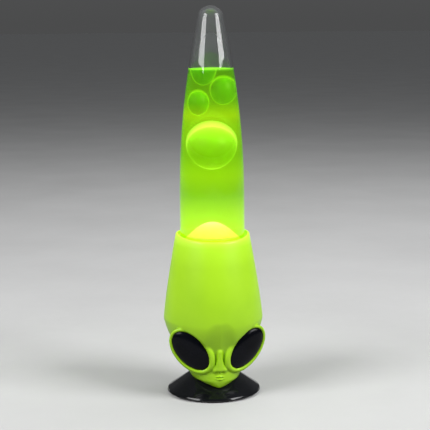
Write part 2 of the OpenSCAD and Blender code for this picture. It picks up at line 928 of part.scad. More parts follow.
// Half outline of the bulb, thinned by an inset
function bulb_outline(inset) = concat(
    [for (i = [0 : bulb_steps])
        let (t = i / bulb_steps)
            [bulb_neck_r + (bulb_r - bulb_neck_r) * pow(sin(90 * t), cone_bend) - inset, cone_h * t]],
    [for (i = [1 : bulb_steps])
        let (a = 90 * i / bulb_steps) [(bulb_r - inset) * cos(a), cone_h + (crown_h - inset) * sin(a)]]
);

// Clear neck, silvered cone and frosted crown, blown in one piece and open into the screw cap.
module bulb_glass() {
    color("#f2f4ec")
        translate([0, 0, bulb_z + bulb_cap_len])
            difference() {
                rotate_extrude() polygon(concat([[0, 0]], bulb_outline(0)));
                rotate_extrude()
                    polygon(concat([[0, -1], [bulb_neck_r - bulb_wall, -1]], bulb_outline(bulb_wall)));
            }
}

// ---- Bottle and what it holds ----

module glass_bottle() {
    color("#d8efe8", 0.35)
        difference() {
            bottle_outer();
            bottle_inner();
        }
}

module neck_cap() {
    grips = 24;
    grip_r = 1;
    color("#d0d3d6")
        difference() {
            translate([0, 0, cap_z]) cylinder(r = cap_r, h = cap_h);
            translate([0, 0, cap_z + cap_t]) cylinder(r = neck_r + fit_gap, h = cap_h);
            around(grips, cap_r + grip_r / 2)
                translate([0, 0, cap_z - 1]) cylinder(r = grip_r, h = cap_h - 1, $fn = 16);
        }
}

module cap_gasket() {
    color("#7a2f24") translate([0, 0, cap_z + cap_t]) cylinder(r = neck_r, h = gasket_t);
}

coil_steps = 8;
coil_sides = 5;
function coil_point(a, b) = [
    (coil_ring_r + coil_centre_r * cos(b)) * cos(a),
    (coil_ring_r + coil_centre_r * cos(b)) * sin(a),
    coil_centre_r * sin(b)
];
function unit(v) = v / norm(v);

module heating_coil() {
    rings = coil_turns * coil_steps;
    points = [
        for (k = [0 : rings - 1])
            let (
                a = 360 * k / rings,
                b = 360 * coil_turns * k / rings,
                out = [cos(b) * cos(a), cos(b) * sin(a), sin(b)],
                along = unit(coil_point(a + 0.05, b + 0.05 * coil_turns) - coil_point(a, b)),
                side = cross(along, out)
            )
            for (j = [0 : coil_sides - 1])
                let (c = 360 * j / coil_sides)
                    coil_point(a, b) + coil_wire_r * (cos(c) * out + sin(c) * side)
    ];
    faces = [
        for (k = [0 : rings - 1], j = [0 : coil_sides - 1])
            let (
                next = (k + 1) % rings,
                p = k * coil_sides + j,
                q = k * coil_sides + (j + 1) % coil_sides,
                r = next * coil_sides + j,
                s = next * coil_sides + (j + 1) % coil_sides
            )
            each [[p, r, s], [p, s, q]]
    ];
    color("#b08a3c") translate([0, 0, coil_z]) polyhedron(points = points, faces = faces, convexity = 8);
}

dome_steps = 10;
dome_bend = 1.1;
function dome_z(r, lift) =
    mound_edge + lift + mound_dome * pow(max(0, cos(90 * r / (bottle_in - film_gap))), dome_bend);

// The dome's outline from the glass in to the axis
function dome_points(lift) = [
    for (i = [0 : dome_steps])
        let (r = (bottle_in - film_gap) * (1 - i / dome_steps)) [r, dome_z(r, lift)]
];

module wax_mound() {
    color("#ecff70")
        difference() {
            rotate_extrude()
                polygon(concat(
                    [[0, neck_z + film_gap], [neck_in - film_gap, neck_z + film_gap]],
                    shoulder_points(glass_t + film_gap),
                    dome_points(0)
                ));
            translate([0, 0, coil_z])
                rotate_extrude() translate([coil_ring_r, 0]) circle(r = coil_turn_r + wax_gap, $fn = 48);
        }
}

module lamp_liquid() {
    color("#96e000", 0.6)
        difference() {
            rotate_extrude()
                polygon(concat(
                    [for (i = [dome_steps : -1 : 0]) dome_points(wax_gap)[i]],
                    [for (i = [0 : ogive_steps])
                        let (z = ogive_z + (liquid_z - ogive_z) * i / ogive_steps)
                            [ogive_radius(z) - glass_t - film_gap, z]],
                    [[0, liquid_z]]
                ));
            blob(large_at, large_z, large_r, large_rz, wax_gap);
            blob(left_at, left_z, left_r, left_rz, wax_gap);
            blob(right_at, right_z, right_r, right_rz, wax_gap);
            blob(hang_at, liquid_z, hang_r, hang_depth, wax_gap);
        }
}

// A rounded lump of wax, taller than it is wide.
module blob(at, z, r, rz, grow) {
    translate([at[0], at[1], z]) scale([r + grow, r + grow, rz + grow]) sphere(r = 1);
}

module wax_blob_large() {
    color("#86c814") blob(large_at, large_z, large_r, large_rz, 0);
}

module wax_blob_left() {
    color("#7cc010") blob(left_at, left_z, left_r, left_rz, 0);
}

module wax_blob_right() {
    color("#7cc010") blob(right_at, right_z, right_r, right_rz, 0);
}

module wax_hanging() {
    color("#78bc10")
        difference() {
            blob(hang_at, liquid_z, hang_r, hang_depth, 0);
            translate([-bottle_r, -bottle_r, liquid_z]) cube([2 * bottle_r, 2 * bottle_r, lamp_h]);
        }
}

base_skirt();
base_plate();
rubber_feet();
plate_screws();
cord_grommet();
head_front();
head_back();
shell_screws();
left_eye();
right_eye();
frame_plate();
frame_posts();
seat_ring();
seat_pad();
base_bolts();
lamp_holder();
socket_shell();
holder_contact();
holder_screws();
bulb_glass();
bulb_cap();
glass_bottle();
neck_cap();
cap_gasket();
heating_coil();
lamp_liquid();
wax_mound();
wax_hanging();
wax_blob_large();
wax_blob_left();
wax_blob_right();
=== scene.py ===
"""Looks of the alien-head lava lamp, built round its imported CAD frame.

Shapes are worked out in millimetres in the row frame (+Z up, the face to -Y) and become metres
when their mesh is made.
"""
import math

import bpy
import numpy as np
from mathutils import Matrix, Vector


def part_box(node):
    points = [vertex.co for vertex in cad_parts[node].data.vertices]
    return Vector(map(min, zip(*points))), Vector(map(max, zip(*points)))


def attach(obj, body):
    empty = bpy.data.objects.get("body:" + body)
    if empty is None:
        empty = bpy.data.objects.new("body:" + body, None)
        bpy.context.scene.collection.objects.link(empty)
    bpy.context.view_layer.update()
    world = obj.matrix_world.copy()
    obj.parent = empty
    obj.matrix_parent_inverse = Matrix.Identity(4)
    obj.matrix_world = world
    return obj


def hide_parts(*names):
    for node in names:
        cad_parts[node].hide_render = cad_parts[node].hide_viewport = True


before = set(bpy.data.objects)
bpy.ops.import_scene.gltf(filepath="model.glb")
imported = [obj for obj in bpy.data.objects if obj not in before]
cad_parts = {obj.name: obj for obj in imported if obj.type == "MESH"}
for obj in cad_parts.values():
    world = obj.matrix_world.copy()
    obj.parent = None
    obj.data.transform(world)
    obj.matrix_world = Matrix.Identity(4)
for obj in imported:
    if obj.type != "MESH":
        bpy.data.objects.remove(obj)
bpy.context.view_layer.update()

MM = 0.001


# ---------------------------------------------------------------- sizes from the frame

def mm_box(node):
    """Lowest and highest corner of a CAD node, in millimetres."""
    low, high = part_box(node)
    return low / MM, high / MM


def middle_and_half(node):
    """Centre and half size of a CAD node, in millimetres."""
    low, high = mm_box(node)
    return (low + high) / 2, (high - low) / 2


skirt_low, skirt_high = mm_box("base_skirt")
BASE_R = skirt_high.x
BASE_H = skirt_high.z
PLATE_Z = skirt_low.z
PLATE_R = mm_box("base_plate")[1].x
bottle_low, bottle_high = mm_box("glass_bottle")
BOTTLE_R = bottle_high.x
LAMP_H = bottle_high.z
NECK_Z = bottle_low.z
LIQUID_Z = mm_box("lamp_liquid")[1].z
MOUND_EDGE = mm_box("lamp_liquid")[0].z
MOUND_TOP = mm_box("wax_mound")[1].z
COLLAR_Z = mm_box("head_back")[1].z
HEAD_HALF_W = mm_box("head_back")[1].x
HEAD_BACK_D = mm_box("head_back")[1].y
FLOOR_Z = mm_box("head_back")[0].z

# Sizes that a box doesn't show, as the CAD source has them
GLASS_T = 2.4
NECK_R = 15.5
NECK_LEN = 11
SHOULDER_H = 22
OGIVE_R = 850
TIP_R = 13.5
SHELL_T = 2.4
COLLAR_GAP = 2.2
COLLAR_DIP = 4.5
HEAD_FRONT_D = 51
BROW_Z = 80
CHIN_Z = 12.6
CHIN_D = 40
HEAD_NECK_R = 25
RIM_H = 2.5
DECK_R = 25.4
CHIN_GAP = 0.6
FIT_GAP = 0.2

COLLAR_IN = BOTTLE_R + COLLAR_GAP
COLLAR_OUT = COLLAR_IN + SHELL_T
BOTTLE_IN = BOTTLE_R - GLASS_T
NECK_IN = NECK_R - GLASS_T
SHOULDER_Z = NECK_Z + NECK_LEN
TIP_Z = LAMP_H - TIP_R
OGIVE_Z = TIP_Z - math.sqrt((OGIVE_R - TIP_R) ** 2 - (OGIVE_R - BOTTLE_R) ** 2)


# ---------------------------------------------------------------- mesh helpers

def make_piece(name, points, faces, material, body, replaces=(), crease=None):
    """A mesh from millimetre points, smooth except over edges sharper than crease degrees."""
    mesh = bpy.data.meshes.new(name)
    mesh.from_pydata((np.asarray(points, float) * MM).tolist(), [], faces)
    mesh.validate()
    mesh.materials.append(material)
    mesh.shade_smooth()
    if crease:
        mesh.set_sharp_from_angle(angle=math.radians(crease))
    piece = bpy.data.objects.new(name, mesh)
    bpy.context.scene.collection.objects.link(piece)
    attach(piece, body)
    if replaces:
        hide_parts(*replaces)
    return piece


def lathe(profile, steps=144):
    """Points and faces of an outline of (radius, height) turned round Z. Ends on the axis are closed."""
    points, rings = [], []
    for r, z in profile:
        if r < 1e-6:
            rings.append([len(points)])
            points.append((0, 0, z))
        else:
            rings.append(list(range(len(points), len(points) + steps)))
            points += [
                (r * math.cos(a), r * math.sin(a), z)
                for a in (2 * math.pi * i / steps for i in range(steps))
            ]
    faces = []
    for low, high in zip(rings, rings[1:]):
        for i in range(steps):
            j = (i + 1) % steps
            if len(low) == 1 and len(high) > 1:
                faces.append((low[0], high[j], high[i]))
            elif len(high) == 1 and len(low) > 1:
                faces.append((low[i], low[j], high[0]))
            elif len(low) > 1:
                faces.append((low[i], low[j], high[j], high[i]))
    return points, faces


def rounded(corners, steps=6):
    """An outline with its corners rounded. Each corner is (radius, height, rounding)."""
    outline = []
    for before, corner, after in zip([None] + corners[:-1], corners, corners[1:] + [None]):
        here = Vector(corner[:2])
        if not (before and after and corner[2]):
            outline.append(tuple(here))
            continue
        start, end = Vector(before[:2]) - here, Vector(after[:2]) - here
        half = start.angle(end) / 2
        cut = min(corner[2] / math.tan(half), start.length / 2, end.length / 2)
        a, b = here + start.normalized() * cut, here + end.normalized() * cut
        for i in range(steps + 1):
            t = i / steps
            outline.append(tuple(a * (1 - t) ** 2 + here * 2 * t * (1 - t) + b * t * t))
    return outline


# ---------------------------------------------------------------- outline of the bottle

def ogive_radius(z):
    return BOTTLE_R - OGIVE_R + math.sqrt(OGIVE_R ** 2 - max(0, z - OGIVE_Z) ** 2)


def shoulder_radius(z):
    share = min(1, max(0, (z - SHOULDER_Z) / SHOULDER_H))
    return NECK_R + (BOTTLE_R - NECK_R) * (1 - math.cos(math.pi * share)) / 2


def wall_radius(z):
    """Outer radius of the glass at a height below its tip."""
    return shoulder_radius(z) if z < SHOULDER_Z + SHOULDER_H else ogive_radius(z)


def spread(low, high, count):
    return [low + (high - low) * i / count for i in range(count + 1)]


def bottle_profile(inset):
    """Outline from the tip down to the neck's lower end, drawn in by some inset."""
    join = math.acos((OGIVE_R - BOTTLE_R) / (OGIVE_R - TIP_R))
    arc_r = TIP_R - inset
    tip = [(arc_r * math.cos(a), TIP_Z + arc_r * math.sin(a)) for a in spread(math.pi / 2, join, 20)]
    tip[0] = (0, TIP_Z + arc_r)
    side = [(ogive_radius(z) - inset, z) for z in spread(tip[-1][1], OGIVE_Z, 60)[1:]]
    straight = [(BOTTLE_R - inset, SHOULDER_Z + SHOULDER_H)]
    shoulder = [
        (shoulder_radius(z) - inset, z) for z in spread(SHOULDER_Z + SHOULDER_H, SHOULDER_Z, 28)[1:]
    ]
    return tip + side + straight + shoulder + [(NECK_R - inset, NECK_Z)]


# ---------------------------------------------------------------- materials

def new_material(name, **values):
    """A material with one Principled shader, its plain values set on the shader's own sockets."""
    material = bpy.data.materials.new(name)
    material.use_nodes = True
    shader = material.node_tree.nodes["Principled BSDF"]
    for socket, value in values.items():
        shader.inputs[socket.replace("_", " ")].default_value = value
    return material, material.node_tree, shader


def object_coordinates(tree, stretch=(1, 1, 1)):
    """Object coordinates, squeezed or stretched along each axis."""
    source = tree.nodes.new("ShaderNodeTexCoord")
    mapping = tree.nodes.new("ShaderNodeMapping")
    mapping.inputs["Scale"].default_value = stretch
    tree.links.new(source.outputs["Object"], mapping.inputs["Vector"])
    return mapping.outputs["Vector"]


def noise(tree, scale, detail=4.0, stretch=(1, 1, 1)):
    node = tree.nodes.new("ShaderNodeTexNoise")
    node.inputs["Scale"].default_value = scale
    node.inputs["Detail"].default_value = detail
    tree.links.new(object_coordinates(tree, stretch), node.inputs["Vector"])
    return node.outputs["Fac"]


def ramp(tree, value, stops):
    """A colour ramp from (place, colour) stops."""
    node = tree.nodes.new("ShaderNodeValToRGB")
    elements = node.color_ramp.elements
    while len(elements) > 1:
        elements.remove(elements[0])
    for i, (place, colour) in enumerate(stops):
        element = elements[0] if i == 0 else elements.new(place)
        element.position = place
        element.color = (*colour, 1) if len(colour) == 3 else colour
    tree.links.new(value, node.inputs["Fac"])
    return node.outputs["Color"]


def blend(tree, share, first, second):
    """One colour output giving way to another as a share goes from 0 to 1."""
    node = tree.nodes.new("ShaderNodeMix")
    node.data_type = "RGBA"
    for socket, value in (("Factor_Float", share), ("A_Color", first), ("B_Color", second)):
        tree.links.new(value, next(i for i in node.inputs if i.identifier == socket))
    return next(o for o in node.outputs if o.identifier == "Result_Color")


def span(tree, value, low, high, to_low, to_high):
    node = tree.nodes.new("ShaderNodeMapRange")
    for socket, number in (("From Min", low), ("From Max", high), ("To Min", to_low), ("To Max", to_high)):
        node.inputs[socket].default_value = number
    tree.links.new(value, node.inputs["Value"])
    return node.outputs["Result"]


def height(tree, low, high):
    """0 at one height and 1 at another, both in millimetres, in the piece's own coordinates."""
    split = tree.nodes.new("ShaderNodeSeparateXYZ")
    tree.links.new(object_coordinates(tree), split.inputs["Vector"])
    return span(tree, split.outputs["Z"], low * MM, high * MM, 0, 1)


def off_axis(tree, low, high):
    """0 at one distance from the lamp's axis and 1 at another, in millimetres."""
    flat = tree.nodes.new("ShaderNodeVectorMath")
    flat.operation = "LENGTH"
    tree.links.new(object_coordinates(tree, (1, 1, 0)), flat.inputs[0])
    return span(tree, flat.outputs["Value"], low * MM, high * MM, 0, 1)


def facing_up(tree, low, high):
    """0 to 1 as the surface turns from one upward share to another."""
    geometry = tree.nodes.new("ShaderNodeNewGeometry")
    split = tree.nodes.new("ShaderNodeSeparateXYZ")
    tree.links.new(geometry.outputs["Normal"], split.inputs["Vector"])
    return span(tree, split.outputs["Z"], low, high, 0, 1)


def bump(tree, shader, value, strength, distance):
    node = tree.nodes.new("ShaderNodeBump")
    node.inputs["Strength"].default_value = strength
    node.inputs["Distance"].default_value = distance
    tree.links.new(value, node.inputs["Height"])
    tree.links.new(node.outputs["Normal"], shader.inputs["Normal"])


def grained(name, dark, light, rough, scale, bump_mm, stretch=(1, 1, 1), **values):
    """A surface whose colour, roughness and fine relief vary with two noises."""
    material, tree, shader = new_material(name, **values)
    broad = noise(tree, scale / 12, 3, stretch)
    fine = noise(tree, scale, 5, stretch)
    tree.links.new(ramp(tree, broad, [(0.3, dark), (0.7, light)]), shader.inputs["Base Color"])
    tree.links.new(span(tree, fine, 0.3, 0.7, *rough), shader.inputs["Roughness"])
    bump(tree, shader, fine, 0.6, bump_mm * MM)
    return material


def gloss_black():
    return grained(
        "gloss_black", (0.003, 0.0035, 0.004), (0.006, 0.0065, 0.008), (0.09, 0.15), 700, 0.006,
        Specular_IOR_Level=0.22, Coat_Weight=0.1, Coat_Roughness=0.04,
    )


def textured_black():
    return grained("textured_black", (0.018, 0.018, 0.02), (0.035, 0.035, 0.038), (0.5, 0.7), 1800, 0.06)


def black_rubber():
    return grained("black_rubber", (0.022, 0.022, 0.024), (0.045, 0.045, 0.048), (0.65, 0.85), 1400, 0.05)


def grey_silicone():
    return grained("grey_silicone", (0.15, 0.16, 0.17), (0.22, 0.23, 0.24), (0.5, 0.65), 1200, 0.03)


def plated_steel():
    return grained(
        "plated_steel", (0.48, 0.49, 0.51), (0.66, 0.67, 0.68), (0.22, 0.38), 900, 0.01,
        stretch=(1, 12, 1), Metallic=1,
    )


def screw_steel():
    return grained(
        "screw_steel", (0.42, 0.43, 0.45), (0.62, 0.63, 0.65), (0.25, 0.45), 1500, 0.015, Metallic=1
    )


def spring_wire():
    return grained(
        "spring_wire", (0.45, 0.40, 0.28), (0.66, 0.60, 0.42), (0.2, 0.35), 1600, 0.01, Metallic=1
    )


def white_porcelain():
    return grained(
        "white_porcelain", (0.74, 0.72, 0.66), (0.84, 0.82, 0.76), (0.16, 0.26), 500, 0.02,
        Coat_Weight=0.6, Coat_Roughness=0.08,
    )


def bright_brass():
    return grained(
        "bright_brass", (0.60, 0.40, 0.13), (0.78, 0.56, 0.22), (0.2, 0.35), 1300, 0.01, Metallic=1
    )


def nickel_cap():
    return grained(
        "nickel_cap", (0.60, 0.60, 0.58), (0.76, 0.76, 0.74), (0.18, 0.32), 1100, 0.01, Metallic=1
    )


def satin_aluminium():
    return grained(
        "satin_aluminium", (0.58, 0.59, 0.61), (0.76, 0.77, 0.78), (0.28, 0.42), 1000, 0.012,
        stretch=(1, 1, 14), Metallic=1,
    )


def red_rubber():
    return grained("red_rubber", (0.20, 0.05, 0.03), (0.32, 0.09, 0.06), (0.6, 0.8), 1300, 0.04)


def eye_black():
    """Polished black with a faint cool bloom."""
    return grained(
        "eye_black", (0.001, 0.0012, 0.002), (0.003, 0.0034, 0.006), (0.16, 0.24), 300, 0.004,
        Specular_IOR_Level=0.1,
    )


def head_plastic():
    """Satin lime plastic, darker with painted shade where it faces down, and with a painted glow towards the
    collar, as if the lit bottle shone into it.
    """
    material, tree, shader = new_material(
        "head_plastic", Specular_IOR_Level=0.25, Coat_Weight=0.14, Coat_Roughness=0.2
    )
    broad = noise(tree, 28, 3)
    fine = noise(tree, 1500, 5)
    colour = ramp(tree, broad, [(0.25, (0.295, 0.560, 0.008)), (0.75, (0.350, 0.630, 0.012))])
    # Painted shade: a darker copy of the plastic, blended in where the surface faces down, away from the
    # light above.
    under = ramp(tree, broad, [(0.25, (0.135, 0.270, 0.001)), (0.75, (0.165, 0.310, 0.002))])
    colour = blend(tree, facing_up(tree, -0.55, 0.22), under, colour)
    tree.links.new(colour, shader.inputs["Base Color"])
    tree.links.new(span(tree, fine, 0.3, 0.7, 0.36, 0.50), shader.inputs["Roughness"])
    bump(tree, shader, fine, 0.5, 0.03 * MM)
    # Painted glow by height, strongest at the collar as if the lit bottle shone into the plastic, and only
    # outside the bore.
    glow = ramp(tree, height(tree, CHIN_Z, COLLAR_Z), [
        (0.0, (0.01, 0.02, 0.0)),
        (0.45, (0.01, 0.02, 0.0)),
        (0.80, (0.04, 0.08, 0.002)),
        (0.93, (0.12, 0.22, 0.010)),
        (1.0, (0.42, 0.50, 0.070)),
    ])
    tree.links.new(glow, shader.inputs["Emission Color"])
    outside = off_axis(tree, COLLAR_IN + 0.3, COLLAR_IN + 1.2)
    tree.links.new(outside, shader.inputs["Emission Strength"])
    return material


def clear_glass():
    """Blown glass, very slightly wavy, green where the liquid lies behind it, with a band of painted shade
    low in the collar.
    """
    material, tree, shader = new_material(
        "clear_glass", Roughness=0.0, IOR=1.45, Transmission_Weight=1
    )
    low, high = COLLAR_Z - 6, LIQUID_Z + 2
    places = [(z - low) / (high - low) for z in (COLLAR_Z - 2, COLLAR_Z - 1, LIQUID_Z - 0.6, LIQUID_Z)]
    # Painted shade: the glass darker low down in the collar.
    collar_shade, green, clear = (0.45, 0.75, 0.2), (0.70, 0.95, 0.50), (0.97, 0.99, 0.98)
    tint = ramp(tree, height(tree, low, high), list(zip(places, (collar_shade, green, green, clear))))
    tree.links.new(tint, shader.inputs["Base Color"])
    bump(tree, shader, noise(tree, 22, 2, (1, 1, 0.4)), 0.1, 0.03 * MM)
    return material


def green_liquid():
    """Clear lime liquid which bends light, with a painted glow as if lit from below: through its volume, and
    on its surface in bands by height, more where it is deeper.
    """
    material, tree, shader = new_material(
        "green_liquid", Base_Color=(0.30, 0.64, 0.02, 1), Roughness=0.0, IOR=1.33, Transmission_Weight=1
    )
    # Painted glow on the surface, in bands by height, brighter again at the very top.
    glow = ramp(tree, height(tree, COLLAR_Z, LIQUID_Z), [
        (0.0, (0.38, 0.38, 0.0)),
        (0.11, (0.27, 0.30, 0.0)),
        (0.24, (0.10, 0.13, 0.0)),
        (0.36, (0.18, 0.21, 0.0)),
        (0.48, (0.09, 0.12, 0.0)),
        (0.66, (0.14, 0.17, 0.0)),
        (0.72, (0.22, 0.22, 0.0)),
        (0.80, (0.05, 0.08, 0.0)),
        (0.985, (0.01, 0.03, 0.0)),
        (0.993, (0.12, 0.36, 0.02)),
        (1.0, (0.16, 0.42, 0.03)),
    ])
    tree.links.new(glow, shader.inputs["Emission Color"])
    shader.inputs["Emission Strength"].default_value = 1.0
    # Painted glow through the whole volume of the liquid.
    shining = tree.nodes.new("ShaderNodeEmission")
    shining.inputs["Color"].default_value = (0.72, 0.95, 0.0, 1)
    shining.inputs["Strength"].default_value = 4
    tree.links.new(shining.outputs["Emission"], tree.nodes["Material Output"].inputs["Volume"])
    return material


def mound_wax():
    """Molten wax right over the bulb, with a painted glow that is brightest at its crest."""
    material, tree, shader = new_material("mound_wax", Roughness=0.4)
    mottle = noise(tree, 60, 3)
    colour = ramp(tree, mottle, [(0.3, (0.62, 0.80, 0.10)), (0.7, (0.72, 0.88, 0.16))])
    tree.links.new(colour, shader.inputs["Base Color"])
    # Painted glow by height, brightest at the crest over the bulb.
    glow = ramp(tree, height(tree, NECK_Z, MOUND_TOP), [
        (0.0, (0.65, 0.75, 0.20)),
        (0.45, (0.30, 0.52, 0.02)),
        (0.80, (0.55, 0.70, 0.30)),
        (0.93, (0.85, 0.95, 1.60)),
        (1.0, (1.15, 1.20, 4.20)),
    ])
    tree.links.new(glow, shader.inputs["Emission Color"])
    shader.inputs["Emission Strength"].default_value = 1.0
    bump(tree, shader, mottle, 0.3, 0.4 * MM)
    return material


def wax_film(name, colour, strength):
    """A clear film with a painted glow through its volume: the more of it is looked through, the brighter it
    shows.
    """
    material = bpy.data.materials.new(name)
    material.use_nodes = True
    tree = material.node_tree
    tree.nodes.remove(tree.nodes["Principled BSDF"])
    clear = tree.nodes.new("ShaderNodeBsdfTransparent")
    shining = tree.nodes.new("ShaderNodeEmission")
    shining.inputs["Color"].default_value = (*colour, 1)
    shining.inputs["Strength"].default_value = strength
    output = tree.nodes["Material Output"]
    tree.links.new(clear.outputs["BSDF"], output.inputs["Surface"])
    tree.links.new(shining.outputs["Emission"], output.inputs["Volume"])
    return material


# Painted glow films: thin shells round the wax that paint bright rims, and a brighter painted crown on the
# large lump.
RIM_GLOW_FILM = wax_film("wax_skin", (0.62, 0.95, 0.06), 70)
CROWN_GLOW_FILM = wax_film("crown_glow_film", (1.00, 1.00, 0.75), 75)


def blob_wax(name, body, crest):
    """Green wax with a painted glow, and a brighter painted highlight on its crown and its underside."""
    material, tree, shader = new_material(name, Roughness=0.3)
    mottle = noise(tree, 90, 3)
    colour = ramp(tree, mottle, [(0.3, (0.07, 0.20, 0.002)), (0.7, (0.10, 0.25, 0.003))])
    tree.links.new(colour, shader.inputs["Base Color"])
    # Painted highlight: the glow is brighter where the surface faces straight up or straight down; body and
    # crest are the painted glow colours.
    glow = ramp(tree, facing_up(tree, -1, 1), [
        (0.0, crest),
        (0.16, body),
        (0.60, body),
        (1.0, crest),
    ])
    tree.links.new(glow, shader.inputs["Emission Color"])
    shader.inputs["Emission Strength"].default_value = 1.0
    return material


BULB_SILVERED = 0.60  # share of the bulb's height that is silvered
BULB_CONE, BULB_BEND = 0.62, 1.3


def bulb_finish():
    """Silvered cone below, frosted crown above."""
    material, tree, shader = new_material("bulb_finish", Roughness=0.35)
    low, high = mm_box("bulb_glass")
    edge = low.z + (high.z - low.z) * BULB_SILVERED
    split = height(tree, edge - 0.6, edge + 0.6)
    frost = noise(tree, 1500, 4)
    tree.links.new(
        ramp(tree, split, [(0, (0.72, 0.73, 0.74)), (1, (0.92, 0.92, 0.86))]), shader.inputs["Base Color"]
    )
    tree.links.new(span(tree, split, 0, 1, 1, 0), shader.inputs["Metallic"])
    tree.links.new(
        ramp(tree, split, [(0, (0, 0, 0)), (1, (1.0, 0.86, 0.55))]), shader.inputs["Emission Color"]
    )
    shader.inputs["Emission Strength"].default_value = 0.9
    bump(tree, shader, frost, 0.4, 0.03 * MM)
    return material


# ---------------------------------------------------------------- head, as a distance function

def smooth_min(a, b, k):
    h = np.clip(0.5 + 0.5 * (b - a) / k, 0, 1)
    return b * (1 - h) + a * h - k * h * (1 - h)


def smooth_max(a, b, k):
    return -smooth_min(-a, -b, k)


# How the head's outline bends: over the brow, from brow to chin, and under the chin
CROWN_SIDE_BEND, CROWN_FRONT_BEND, CROWN_BACK_BEND = 1.2, 1.6, 1.7
JAW_BEND, FACE_BEND, JAW_SQUARE = 1.3, 4, 0.2
CHIN_BEND, CHIN_HALF_W, CHIN_TUCK = 0.6, 3, 3


def head_outline(z):
    """Half width, front reach and back reach of the head at each height, and its squareness."""
    above = np.clip((z - BROW_Z) / (COLLAR_Z - BROW_Z), 0, 1)
    below = np.clip((z - FLOOR_Z) / (BROW_Z - FLOOR_Z), 0, 1)
    chin = np.clip((z - CHIN_Z) / (FLOOR_Z - CHIN_Z), 0.001, 1)
    high, mid = z >= BROW_Z, z >= FLOOR_Z
    half_w = np.where(
        high,
        COLLAR_OUT + (HEAD_HALF_W - COLLAR_OUT) * (1 - above ** CROWN_SIDE_BEND),
        np.where(
            mid,
            HEAD_NECK_R + (HEAD_HALF_W - HEAD_NECK_R) * (1 - (1 - below) ** JAW_BEND),
            CHIN_HALF_W + (HEAD_NECK_R - CHIN_HALF_W) * chin ** CHIN_BEND,
        ),
    )
    front = np.where(
        high,
        COLLAR_OUT + (HEAD_FRONT_D - COLLAR_OUT) * (1 - above ** CROWN_FRONT_BEND),
        np.where(
            mid,
            CHIN_D + (HEAD_FRONT_D - CHIN_D) * np.sin(math.pi / 2 * below) ** FACE_BEND,
            CHIN_D - CHIN_TUCK * (1 - np.sqrt(chin)),
        ),
    )
    back = np.where(
        high,
        COLLAR_OUT + (HEAD_BACK_D - COLLAR_OUT) * (1 - above ** CROWN_BACK_BEND),
        HEAD_NECK_R + (HEAD_BACK_D - HEAD_NECK_R) * (1 - (1 - below) ** JAW_BEND),
    )
    square = 1 - JAW_SQUARE * np.clip((BROW_Z - z) / (BROW_Z - CHIN_Z), 0, 1)
    return half_w, front, back, square


def front_reach(z):
    """How far the face stands forward at a height."""
    return float(head_outline(np.array(z, float))[1])


def oval_distance(x, y, half_x, half_y, power=2.0):
    """Distance from a (super)ellipse along the line to its centre: negative inside."""
    share = ((np.abs(x) / half_x) ** power + (np.abs(y) / half_y) ** power) ** (1 / power)
    return np.hypot(x, y) * (1 - 1 / np.maximum(share, 1e-4))


def body_distance(x, y, z, inset):
    half_w, front, back, square = head_outline(z)
    in_front = y < 0
    reach = np.where(in_front, front, back)
    power = np.where(in_front, 2 / square, 2.0)
    return oval_distance(x, y, np.maximum(half_w - inset, 1), np.maximum(reach - inset, 1), power)


def capsule(x, y, z, a, b, ra, rb):
    """Distance from a rod between two points whose radius changes along it."""
    a, b = np.array(a, float), np.array(b, float)
    axis = b - a
    x, y, z = x - a[0], y - a[1], z - a[2]
    t = np.clip((x * axis[0] + y * axis[1] + z * axis[2]) / (axis @ axis), 0, 1)
    away = np.sqrt((x - axis[0] * t) ** 2 + (y - axis[1] * t) ** 2 + (z - axis[2] * t) ** 2)
    return away - (ra + (rb - ra) * t)


EYE_A, EYE_B, EYE_DOME, EYE_PLUG = 24.3, 14.8, 5.0, 2.5
EYE_AT = np.array([28.4, -34.0, FLOOR_Z + 32.5])
EYE_YAW, EYE_PITCH, EYE_SLANT = 21, 6, 48
RIM_OFFSET, RIM_SINK, RIM_INNER, RIM_OUTER = 1.5, 0.4, 3.2, 1.7
POD_SINK, POD_DEPTH, POD_END, POD_SHIFT = 1.4, 20, 0.5, 4


def turn(angle, axis):
    return np.array(Matrix.Rotation(math.radians(angle), 3, axis))


EYE_FRAME = turn(EYE_YAW, "Z") @ turn(90 + EYE_PITCH, "X") @ turn(EYE_SLANT, "Z")


def eye_coordinates(x, y, z):
    """Coordinates in the nearer eye's own frame: along its long axis, across it, and out of it."""
    p = (np.abs(x) - EYE_AT[0], y - EYE_AT[1], z - EYE_AT[2])
    return [sum(p[i] * EYE_FRAME[i, k] for i in range(3)) for k in range(3)]


def eye_distance(u, v, w, grow):
    """The polished eye: a half ellipsoid with an oval plug behind it, grown by a clearance."""
    a, b, c = EYE_A + grow, EYE_B + grow, EYE_DOME + grow
    share = np.sqrt((u / a) ** 2 + (v / b) ** 2 + (np.maximum(w, 0) / c) ** 2) + 1e-6
    slope = np.sqrt((u / a ** 2) ** 2 + (v / b ** 2) ** 2 + (np.maximum(w, 0) / c ** 2) ** 2) + 1e-6
    return np.maximum(share * (share - 1) / slope, -EYE_PLUG - grow - w)


def rim_distance(u, v, w):
    """The raised rim round an eye, thicker on the side next to the nose."""
    a, b = EYE_A + RIM_OFFSET, EYE_B + RIM_OFFSET
    across = ((u / a) ** 2 + (v / b) ** 2 - 1) / (2 * np.sqrt((u / a ** 2) ** 2 + (v / b ** 2) ** 2) + 1e-6)
    nose_side = math.radians(180 - EYE_SLANT / 2)
    thick = RIM_OUTER + (RIM_INNER - RIM_OUTER) * (1 + np.cos(np.arctan2(v / b, u / a) - nose_side)) / 2
    return np.hypot(across, w + RIM_SINK) - thick


